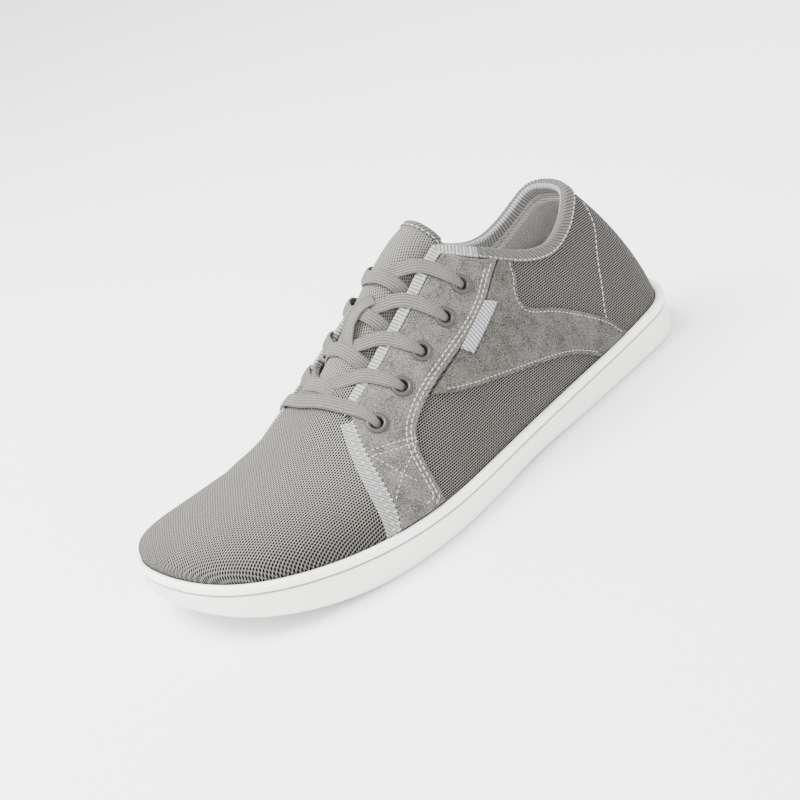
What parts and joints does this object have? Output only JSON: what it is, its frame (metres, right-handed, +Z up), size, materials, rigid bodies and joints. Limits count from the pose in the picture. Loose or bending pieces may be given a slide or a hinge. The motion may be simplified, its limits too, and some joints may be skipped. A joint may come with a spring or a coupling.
{
  "type": "barefoot shoe",
  "caption": "Low laced barefoot sneaker for the left foot: grey knit upper, suede eyestay and swept band, twill-tape edges, flat laces, thin white rubber cup sole; stands empty",
  "frame": {"origin": "middle of the bounding box in plan, on the ground under the sole", "axes": "+X from heel to toe, +Y to the lateral (outer) side of the left shoe, +Z up"},
  "size_m": [0.27, 0.1018, 0.1034],
  "materials": {
    "white_rubber": "matte off-white rubber, smooth rim band over a fine-grained side",
    "grey_knit": "grey knit with rows of small dark loops",
    "grey_suede": "light grey microfibre suede with a short nap",
    "silver_twill_tape": "silvery grey twill tape, ribbed across",
    "grey_lining": "mid grey woven lining",
    "grey_lace": "flat braided lace with lengthwise ribs",
    "grey_painted_metal": "satin grey painted rings"
  },
  "bodies": {
    "root": {"sole": "white_rubber", "insole": "grey_lining", "upper": "grey_knit", "tongue": "grey_knit", "band_lateral": "grey_suede", "band_medial": "grey_suede", "collar_binding": "silver_twill_tape", "eyelet_lateral_1": "grey_painted_metal", "eyelet_lateral_2": "grey_painted_metal", "eyelet_lateral_3": "grey_painted_metal", "eyelet_lateral_4": "grey_painted_metal", "eyelet_lateral_5": "grey_painted_metal", "eyelet_medial_1": "grey_painted_metal", "eyelet_medial_2": "grey_painted_metal", "eyelet_medial_3": "grey_painted_metal", "eyelet_medial_4": "grey_painted_metal", "eyelet_medial_5": "grey_painted_metal", "eyestay_lateral": "grey_suede", "eyestay_medial": "grey_suede", "front_tape_lateral": "silver_twill_tape", "front_tape_medial": "silver_twill_tape", "lace_bar_1": "grey_lace", "lace_crossing_2": "grey_lace", "lace_crossing_3_4": "grey_lace", "lace_crossing_5": "grey_lace", "side_tag": "silver_twill_tape", "tongue_binding": "silver_twill_tape"}
  },
  "joints": []
}
